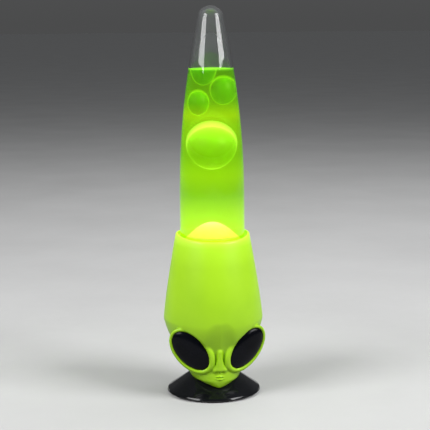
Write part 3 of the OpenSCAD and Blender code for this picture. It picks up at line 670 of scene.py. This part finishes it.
def pod_distance(u, v, w):
    """The pod that carries an eye out of the head, narrowing inwards from the rim."""
    deep = np.clip((-POD_SINK - w) / (POD_DEPTH - POD_SINK), 0, 1)
    a = (EYE_A + RIM_OFFSET) * (1 - deep) + EYE_A * POD_END * deep
    b = (EYE_B + RIM_OFFSET) * (1 - deep) + EYE_B * POD_END * deep
    side = oval_distance(u + POD_SHIFT * deep, v + POD_SHIFT * deep, a, b)
    return np.maximum(np.maximum(side, w + POD_SINK), -POD_DEPTH - w)


NOSE_Z = FLOOR_Z + 13.5
MOUTH_Z = FLOOR_Z + 4
NOSE_R, NOSE_STAND, NOSE_HALF_W, NOSTRIL_R = 4.2, 3.8, 7.4, 2.4
BRIDGE_R, BRIDGE_LEN = 2.0, 18
LIP_R, LIP_HALF_GAP, LIP_DROOP, MOUTH_HALF_W = 1.3, 1.5, 0.7, 4.5


def on_face(z, lift, x=0.0):
    """A point on the face's middle line, or beside it, sunk in by some lift."""
    return (x, -front_reach(z) + lift, z)


def nose_distance(x, y, z):
    tip = on_face(NOSE_Z, NOSE_R - NOSE_STAND)
    top = on_face(NOSE_Z + BRIDGE_LEN, BRIDGE_R - NOSE_STAND / 3)
    middle = on_face(NOSE_Z + BRIDGE_LEN / 2, BRIDGE_R - NOSE_STAND / 2)
    wing = on_face(NOSE_Z - 1, NOSTRIL_R - NOSE_STAND / 3, NOSE_HALF_W - NOSTRIL_R)
    ridge = capsule(x, y, z, top, tip, BRIDGE_R, NOSE_R - 0.3)
    flare = capsule(np.abs(x), y, z, middle, wing, BRIDGE_R - 0.2, NOSTRIL_R)
    foot = capsule(np.abs(x), y, z, on_face(NOSE_Z, 0.2), wing, NOSTRIL_R + 0.4, NOSTRIL_R)
    return smooth_min(smooth_min(ridge, flare, 2.0), foot, 1.5)


def nostril_distance(x, y, z):
    """A shallow pit under each side of the nose's tip."""
    inner = on_face(NOSE_Z - 3.4, -0.6, 1.9)
    outer = on_face(NOSE_Z - 2.6, 0.6, 3.6)
    return capsule(np.abs(x), y, z, inner, outer, 1.2, 0.9)


def lips_distance(x, y, z):
    def lip(side):
        height_z = MOUTH_Z + side * LIP_HALF_GAP
        corner = on_face(height_z, LIP_R / 2, MOUTH_HALF_W)
        corner = (corner[0], corner[1], height_z - side * LIP_DROOP)
        return capsule(np.abs(x), y, z, on_face(height_z, 0), corner, LIP_R, LIP_R / 2)
    return np.minimum(lip(1), lip(-1))


def mouth_distance(x, y, z):
    """The line between the lips."""
    return capsule(np.abs(x), y, z, on_face(MOUTH_Z, -0.4), on_face(MOUTH_Z, 0.4, MOUTH_HALF_W), 0.8, 0.5)


def base_distance(x, y, z):
    """The base with the gap that the head keeps from it."""
    r = np.hypot(x, y)
    skirt_top = PLATE_Z + RIM_H + CHIN_GAP
    slope = (BASE_R - DECK_R) / (BASE_H - skirt_top + CHIN_GAP)
    cone = (r - (BASE_R + CHIN_GAP - slope * np.maximum(0, z - skirt_top))) / math.hypot(1, slope)
    return np.maximum(cone, z - FLOOR_Z)


BOSS_LEVELS = (FLOOR_Z + 27, SHOULDER_Z - 12)
SCREW_HEAD_R, SCREW_HEAD_T, SCREW_RECESS_R, BOSS_R = 2.7, 1.8, 2.9, 3.4
BOSS_X = mm_box("shell_screws")[1].x - SCREW_HEAD_R
SCREW_HEAD_Y = mm_box("shell_screws")[1].y - SCREW_HEAD_T


def boss_distance(x, z, radius):
    """The screw pillars, which run from front to back."""
    away = [np.hypot(np.abs(x) - BOSS_X, z - level) - radius for level in BOSS_LEVELS]
    return np.minimum(*away)


def furrow_distance(x, y, z):
    """A long shallow groove from the brow down each side of the nose."""
    high, low, high_r, low_r = BROW_Z - 8, BROW_Z - 40, 14, 12
    return capsule(
        np.abs(x), y, z, (5, -front_reach(high) - high_r - 0.4, high),
        (9.5, -front_reach(low) - low_r + 2.6, low), high_r, low_r,
    )


def sight_distance(u, v, w, grow, depth):
    """An oval column from some depth behind an eye's edge out past the face."""
    return np.maximum(oval_distance(u, v, EYE_A + RIM_OFFSET + grow, EYE_B + RIM_OFFSET + grow), -depth - w)


COLLAR_BORE = 12  # how far down the collar is bored true round the bottle


def head_distance(x, y, z):
    """Distance from the head's moulded wall: negative in the plastic."""
    u, v, w = eye_coordinates(x, y, z)
    outer = body_distance(x, y, z, 0)
    furrow = furrow_distance(x, y, z)
    outer = smooth_max(outer, -furrow, 5)
    outer = smooth_max(outer, -sight_distance(u, v, w, 0, RIM_SINK), 1.5)
    outer = smooth_min(outer, pod_distance(u, v, w), 3)
    outer = smooth_min(outer, nose_distance(x, y, z), 2.4)
    outer = smooth_min(outer, lips_distance(x, y, z), 1.0)
    outer = smooth_max(outer, -mouth_distance(x, y, z), 0.4)
    outer = smooth_max(outer, -nostril_distance(x, y, z), 0.5)
    outer = smooth_min(outer, rim_distance(u, v, w), 1.0)
    outer = smooth_max(outer, CHIN_Z - z, 1)
    edge = COLLAR_Z - COLLAR_DIP * np.maximum(0, -y) / COLLAR_OUT
    outer = smooth_max(outer, z - edge, 1.6)
    hollow = np.maximum(body_distance(x, y, z, SHELL_T), FLOOR_Z + SHELL_T - z)
    hollow = smooth_max(hollow, SHELL_T + 1 - furrow, 3)
    hollow = np.maximum(hollow, -sight_distance(u, v, w, SHELL_T, EYE_PLUG + SHELL_T))
    hollow = np.maximum(hollow, -boss_distance(x, z, BOSS_R))
    bore = np.maximum(np.hypot(x, y) - COLLAR_IN, COLLAR_Z - COLLAR_BORE - z)
    hollow = smooth_min(hollow, bore, 0.5)
    wall = smooth_max(outer, -hollow, 0.8)
    wall = np.maximum(wall, -base_distance(x, y, z))
    wall = np.maximum(wall, -eye_distance(u, v, w, FIT_GAP))
    recess = np.maximum(boss_distance(x, z, SCREW_RECESS_R), SCREW_HEAD_Y - y)
    return np.maximum(wall, -recess)


# ---------------------------------------------------------------- a distance function made into a mesh

def surface_net(values, low, pitch):
    """Quads over the zero surface of a grid of distances, one vertex in each cell that it crosses."""
    cells = np.array(values.shape) - 1
    count = np.zeros(cells.prod())
    total = np.zeros((3, cells.prod()))
    quads = []
    for axis, (first, second) in enumerate(((1, 2), (2, 0), (0, 1))):
        at = [slice(None)] * 3
        on = [slice(None)] * 3
        at[axis], on[axis] = slice(None, -1), slice(1, None)
        start, end = values[tuple(at)], values[tuple(on)]
        edge = np.argwhere((start < 0) != (end < 0))
        inner = (edge[:, first] > 0) & (edge[:, second] > 0)
        inner &= (edge[:, first] < cells[first]) & (edge[:, second] < cells[second])
        edge = edge[inner]
        a, b = start[tuple(edge.T)], end[tuple(edge.T)]
        point = edge.astype(float)
        point[:, axis] += a / (a - b)
        corners = []
        for back_first, back_second in ((1, 1), (0, 1), (0, 0), (1, 0)):
            cell = edge.copy()
            cell[:, first] -= back_first
            cell[:, second] -= back_second
            index = np.ravel_multi_index(tuple(cell.T), tuple(cells))
            count += np.bincount(index, minlength=count.size)
            for k in range(3):
                total[k] += np.bincount(index, point[:, k], minlength=count.size)
            corners.append(index)
        quad = np.stack(corners, 1)
        outwards = a < 0
        quads += [quad[outwards], quad[~outwards][:, ::-1]]
    used = count > 0
    number = np.cumsum(used) - 1
    points = np.array(low) + pitch * (total[:, used] / count[used]).T
    return points, number[np.concatenate(quads)]


def settle(points, distance, pitch, rounds=4, step=0.02):
    """Moves points onto the zero surface of a distance function."""
    for _ in range(rounds):
        slope = np.stack([
            (distance(*(points + offset).T) - distance(*(points - offset).T)) / (2 * step)
            for offset in step * np.eye(3)
        ], 1)
        shift = slope * (distance(*points.T) / np.maximum((slope ** 2).sum(1), 0.3))[:, None]
        length = np.linalg.norm(shift, axis=1, keepdims=True)
        points = points - shift * np.minimum(1, 0.5 * pitch / np.maximum(length, 1e-9))
    return points


HEAD_PITCH = 0.9
SEAM_GAP, SEAM_ROUND = 0.06, 0.35


def head_grid():
    """Distances of the whole head on a regular grid."""
    low = np.array([-HEAD_HALF_W - 6, -HEAD_FRONT_D - 6, CHIN_Z - 2])
    high = np.array([HEAD_HALF_W + 6, HEAD_BACK_D + 3, COLLAR_Z + 2])
    counts = np.ceil((high - low) / HEAD_PITCH).astype(int) + 1
    axes = [low[k] + HEAD_PITCH * np.arange(counts[k]) for k in range(3)]
    x, y = np.meshgrid(axes[0], axes[1], indexing="ij")
    values = np.stack([head_distance(x, y, np.full_like(x, z)) for z in axes[2]], 2)
    return values, low, axes[1]


def make_head_half(name, side, grid, material, node):
    """One moulded half of the head: side is -1 for the face and 1 for the back."""
    values, low, rows = grid

    def half_distance(x, y, z):
        return smooth_max(head_distance(x, y, z), SEAM_GAP - side * y, SEAM_ROUND)

    cut = smooth_max(values, (SEAM_GAP - side * rows)[None, :, None], SEAM_ROUND)
    points, quads = surface_net(cut, low, HEAD_PITCH)
    points = settle(points, half_distance, HEAD_PITCH)
    return make_piece(name, points, quads.tolist(), material, "stand", [node], crease=50)


def make_head():
    material = head_plastic()
    grid = head_grid()
    make_head_half("face_shell", -1, grid, material, "head_front")
    make_head_half("skull_shell", 1, grid, material, "head_back")


# ---------------------------------------------------------------- base

def make_base():
    """Flared skirt with a rounded lip, hollow underneath, and the port that holds the cord's bush."""
    skirt_top = PLATE_Z + RIM_H
    wall = 2.2
    inner_r = PLATE_R + FIT_GAP
    lip_lean = 0.9
    corners = [
        (0, BASE_H, 0), (DECK_R, BASE_H, 1.2), (BASE_R - lip_lean, skirt_top + lip_lean / 3, 0.5),
        (BASE_R, PLATE_Z + lip_lean, 0.5), (BASE_R - lip_lean, PLATE_Z, 0.5),
        (inner_r, PLATE_Z, 0.3), (inner_r, PLATE_Z + wall, 0), (inner_r - 2, PLATE_Z + wall, 0),
        (DECK_R - 2, BASE_H - wall, 0), (0, BASE_H - wall, 0),
    ]
    material = gloss_black()
    points, faces = lathe(rounded(corners)[::-1], 192)
    make_piece("base_body", points, faces, material, "stand", ["base_skirt"], crease=40)
    grommet_low, grommet_high = mm_box("cord_grommet")
    centre_z = (grommet_low.z + grommet_high.z) / 2
    port_y = BASE_R - 1.9
    bore_r, port_r, length = 3.7, 5.2, 13
    tube = rounded([
        (bore_r, -length, 0), (bore_r, 0, 0.3), (port_r, 0, 0.7), (port_r, -length, 0),
    ])
    points, faces = lathe(tube + [tube[0]], 64)
    points = [(x, port_y + z, centre_z + y) for x, y, z in points]
    make_piece("cord_port", points, [f[::-1] for f in faces], material, "stand", crease=40)


# ---------------------------------------------------------------- bottle and what it holds

OVERLAP = 0.05  # how far liquid and wax reach into the glass, so that no film of air shows
DOME_BEND = 1.1


def dome_height(r):
    """Height of the wax mound's top at a radius."""
    share = min(1, r / (BOTTLE_IN - 0.1))
    return MOUND_EDGE + (MOUND_TOP - MOUND_EDGE) * max(0, math.cos(math.pi / 2 * share)) ** DOME_BEND


def make_glass():
    """The bottle's wall, outside and inside."""
    outer = bottle_profile(0)
    inner = bottle_profile(GLASS_T)[::-1]
    points, faces = lathe(outer + inner, 192)
    glass = make_piece(
        "bottle_glass", points, [f[::-1] for f in faces], clear_glass(), "bottle",
        ["glass_bottle"], crease=45,
    )
    glass.visible_shadow = False


def make_liquid():
    """The liquid, from the mound's top to a surface that creeps up a little at the glass."""
    creep, creep_w = 0.9, 1.3
    top_r = ogive_radius(LIQUID_Z) - GLASS_T + OVERLAP
    dome = [(r, dome_height(r) - 0.1) for r in spread(0, BOTTLE_IN + OVERLAP, 40)]
    wall = [
        (wall_radius(z) - GLASS_T + OVERLAP, z) for z in spread(dome[-1][1], LIQUID_Z - 0.4, 80)[1:]
    ]
    surface = [
        (r, LIQUID_Z - creep + creep * math.exp((r - top_r) / creep_w)) for r in spread(top_r, 0, 40)
    ]
    points, faces = lathe(dome + wall + surface, 160)
    liquid = make_piece(
        "green_liquid", points, faces, green_liquid(), "bottle", ["lamp_liquid"], crease=60
    )
    liquid.visible_shadow = False


GLOW_HAZE_H = 3.0  # how far the mound's film of painted glow stands over it, short of where the sunk large blob comes


def make_mound():
    """Molten wax that fills the bottle's foot and swells up in the middle, under a film of painted glow."""
    foot = [(0, NECK_Z + 0.1), (NECK_IN + OVERLAP, NECK_Z + 0.1), (NECK_IN + OVERLAP, SHOULDER_Z)]
    side = [
        (wall_radius(z) - GLASS_T + OVERLAP, z) for z in spread(SHOULDER_Z, MOUND_EDGE, 50)[1:]
    ]
    dome = [(r, dome_height(r)) for r in spread(BOTTLE_IN + OVERLAP, 0, 40)]
    points, faces = lathe(foot + side + dome, 160)
    make_piece("wax_bed", points, faces, mound_wax(), "bottle", ["wax_mound"], crease=60)
    film = wax_film("mound_glow_film", (1.0, 0.80, 0.1), 12)
    film_r = BOTTLE_IN - 1
    gap = 0.1
    under = [(r, dome_height(r) + gap) for r in spread(0, film_r, 40)]
    over = [
        (r, dome_height(r) + gap + GLOW_HAZE_H * math.cos(math.pi / 2 * r / film_r))
        for r in spread(film_r, 0, 40)
    ]
    points, faces = lathe(under + over[1:], 120)
    glow_haze = make_piece("mound_glow_film", points, faces, film, "bottle")
    glow_haze.visible_shadow = False


# Thickness of the painted glow shell round each lump of wax.
GLOW_SKIN_T = 0.8
FULLER = 0.05  # how much a lump of wax is fuller above than below


def egg(centre, half, share, top=None, rings=40, steps=72):
    """A lump of wax: an ellipsoid a little fuller above than below, cut off flat at some top."""
    profile = []
    for a in spread(-math.pi / 2, math.pi / 2, rings):
        fuller = 1 + FULLER * math.sin(a) * math.cos(a)
        profile.append((math.cos(a) * fuller * share, math.sin(a)))
    profile[0], profile[-1] = (0, -1), (0, 1)
    points, faces = lathe(profile, steps)
    grown = half - Vector((1, 1, 1)) * (1 - share) * half.x
    placed = []
    for x, y, z in points:
        height_z = centre.z + z * grown.z
        if top is not None:
            height_z = min(height_z, top)
        placed.append((centre.x + x * half.x, centre.y + y * half.y, height_z))
    return placed, faces


def make_blob(name, node, body, crown, film, colour, crest):
    """A lump of wax and a film of painted glow round it, which is thicker over its crown for a painted bright
    crown; colour and crest are the wax's painted glow colours.
    """
    centre, half = middle_and_half(node)
    glow_skin_points, glow_skin_faces = egg(centre, half, 1.0)
    glow_skin = make_piece(name + "_skin", glow_skin_points, glow_skin_faces, film, body, [node])
    glow_skin.visible_shadow = False
    core_centre = centre - Vector((0, 0, (crown - GLOW_SKIN_T) / 2))
    core_half = half - Vector((0, 0, (crown - GLOW_SKIN_T) / 2))
    core_points, core_faces = egg(core_centre, core_half, 1 - GLOW_SKIN_T / half.x)
    wax = blob_wax(name + "_wax", colour, crest)
    make_piece(name + "_wax", core_points, core_faces, wax, body)


def make_hanging_wax():
    """The lump that has reached the liquid's surface and hangs from it."""
    low, high = mm_box("wax_hanging")
    centre = Vector(((low.x + high.x) / 2, (low.y + high.y) / 2, high.z))
    half = Vector(((high.x - low.x) / 2, (high.y - low.y) / 2, high.z - low.z))
    top = LIQUID_Z - 1.2
    points, faces = egg(centre, half, 1.0, top)
    # A shell of painted glow round the lump, and inside it the wax with its own painted glow.
    glow_skin = make_piece("hanging_skin", points, faces, RIM_GLOW_FILM, "bottle", ["wax_hanging"])
    glow_skin.visible_shadow = False
    points, faces = egg(centre, half, 1 - GLOW_SKIN_T / half.x, top - 0.2)
    wax = blob_wax("hanging_wax", (0.03, 0.05, 0.0), (0.05, 0.12, 0.0))
    make_piece("hanging_wax", points, faces, wax, "bottle")


def make_bulb():
    """The reflector bulb's glass, blown in one piece."""
    low, high = mm_box("bulb_glass")
    radius, neck = high.x, mm_box("bulb_cap")[1].x - 0.4
    cone = (high.z - low.z) * BULB_CONE
    crown = high.z - low.z - cone
    side = [
        (neck + (radius - neck) * math.sin(a) ** BULB_BEND, low.z + cone * a / (math.pi / 2))
        for a in spread(0, math.pi / 2, 30)
    ]
    cap = [(radius * math.cos(a), low.z + cone + crown * math.sin(a)) for a in spread(0, math.pi / 2, 24)[1:]]
    cap[-1] = (0, high.z)
    points, faces = lathe([(0, low.z)] + side + cap, 96)
    glass = bulb_finish()
    make_piece("reflector_bulb", points, faces, glass, "bulb", ["bulb_glass"], crease=50)


# ---------------------------------------------------------------- CAD pieces that stay, with their finishes

def finish_cad_pieces():
    finishes = {
        textured_black: ("base_plate",),
        black_rubber: ("rubber_feet", "cord_grommet"),
        screw_steel: ("plate_screws", "shell_screws", "base_bolts", "holder_screws"),
        eye_black: ("left_eye", "right_eye"),
        plated_steel: ("frame_plate", "frame_posts", "seat_ring"),
        grey_silicone: ("seat_pad",),
        white_porcelain: ("lamp_holder",),
        bright_brass: ("socket_shell", "holder_contact"),
        nickel_cap: ("bulb_cap",),
        satin_aluminium: ("neck_cap",),
        red_rubber: ("cap_gasket",),
        spring_wire: ("heating_coil",),
    }
    for finish, nodes in finishes.items():
        material = finish()
        for node in nodes:
            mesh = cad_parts[node].data
            mesh.materials.clear()
            mesh.materials.append(material)


# ---------------------------------------------------------------- stage, lights and camera

def make_floor():
    """A plain pale floor, wide enough to fill the view."""
    material = grained("pale_floor", (0.50, 0.50, 0.50), (0.54, 0.54, 0.54), (0.75, 0.9), 60, 0.02)
    steps, radius = 96, 40.0
    mesh = bpy.data.meshes.new("floor")
    ring = [
        (radius * math.cos(a), radius * math.sin(a), 0)
        for a in (2 * math.pi * i / steps for i in range(steps))
    ]
    mesh.from_pydata(ring, [], [tuple(range(steps))])
    mesh.materials.append(material)
    floor = bpy.data.objects.new("floor", mesh)
    bpy.context.scene.collection.objects.link(floor)


def aim(thing, target):
    thing.rotation_euler = (Vector(target) - thing.location).to_track_quat("-Z", "Y").to_euler()


def softbox(name, azimuth, distance, height_m, size, power, upright=True, target_z=0.2):
    """A rectangular lamp. Its azimuth goes from the lamp's face towards the viewer's right."""
    light = bpy.data.lights.new(name, "AREA")
    light.shape = "RECTANGLE"
    light.size, light.size_y = size
    light.energy = power
    lamp = bpy.data.objects.new(name, light)
    bpy.context.scene.collection.objects.link(lamp)
    a = math.radians(azimuth)
    lamp.location = (distance * math.sin(a), -distance * math.cos(a), height_m)
    aim(lamp, (0, 0, height_m if upright else target_z))
    lamp.visible_camera = False
    lamp.visible_glossy = upright
    lamp.visible_transmission = False


def make_lights():
    softbox("strip_left", CAMERA_AZIMUTH - 54, 1.7, 1.44, (1.05, 1.36), 50)
    softbox("strip_right", CAMERA_AZIMUTH + 62, 1.7, 1.44, (1.05, 1.36), 60)
    softbox("top", 150, 0.9, 1.9, (1.6, 1.6), 14, upright=False)
    world = bpy.data.worlds.new("studio")
    bpy.context.scene.world = world
    world.use_nodes = True
    background = world.node_tree.nodes["Background"]
    tree = world.node_tree
    source = tree.nodes.new("ShaderNodeTexCoord")
    split = tree.nodes.new("ShaderNodeSeparateXYZ")
    tree.links.new(source.outputs["Generated"], split.inputs["Vector"])
    sky = ramp(tree, split.outputs["Z"], [(0.0, (0.42, 0.425, 0.43)), (0.35, (0.80, 0.82, 0.84))])
    tree.links.new(sky, background.inputs["Color"])
    background.inputs["Strength"].default_value = 0.17


CAMERA_AZIMUTH = -9.0
CAMERA_DISTANCE = 1.25
CAMERA_HEIGHT = 0.385
CAMERA_PITCH = 9.015
CAMERA_ROLL = 0.5
CAMERA_LENS = 102.56
CAMERA_AIM = 0.13  # degrees that it looks to the right of the axis


def make_camera():
    data = bpy.data.cameras.new("camera")
    data.lens, data.sensor_width = CAMERA_LENS, 36
    camera = bpy.data.objects.new("camera", data)
    bpy.context.scene.collection.objects.link(camera)
    bpy.context.scene.camera = camera
    a, pitch = math.radians(CAMERA_AZIMUTH), math.radians(CAMERA_PITCH)
    camera.location = (CAMERA_DISTANCE * math.sin(a), -CAMERA_DISTANCE * math.cos(a), CAMERA_HEIGHT)
    b = a - math.radians(CAMERA_AIM)
    look = Vector((-math.sin(b) * math.cos(pitch), math.cos(b) * math.cos(pitch), -math.sin(pitch)))
    level = look.to_track_quat("-Z", "Y").to_matrix()
    camera.rotation_euler = (level @ Matrix.Rotation(math.radians(-CAMERA_ROLL), 3, "Z")).to_euler()


make_camera()
make_lights()
make_floor()
make_head()
make_base()
make_glass()
make_liquid()
make_mound()
make_hanging_wax()
# The last two colours of each lump are its painted glow and the brighter painted highlight on its crest.
make_blob("large", "wax_blob_large", "wax_large", 6.5, CROWN_GLOW_FILM, (0.22, 0.26, 0.0), (0.40, 0.44, 0.0))
make_blob("left", "wax_blob_left", "wax_left", 2.6, RIM_GLOW_FILM, (0.03, 0.04, 0.0), (0.05, 0.10, 0.0))
make_blob("right", "wax_blob_right", "wax_right", 2.6, RIM_GLOW_FILM, (0.03, 0.04, 0.0), (0.05, 0.10, 0.0))
make_bulb()
finish_cad_pieces()
bpy.context.scene.view_settings.view_transform = "Standard"
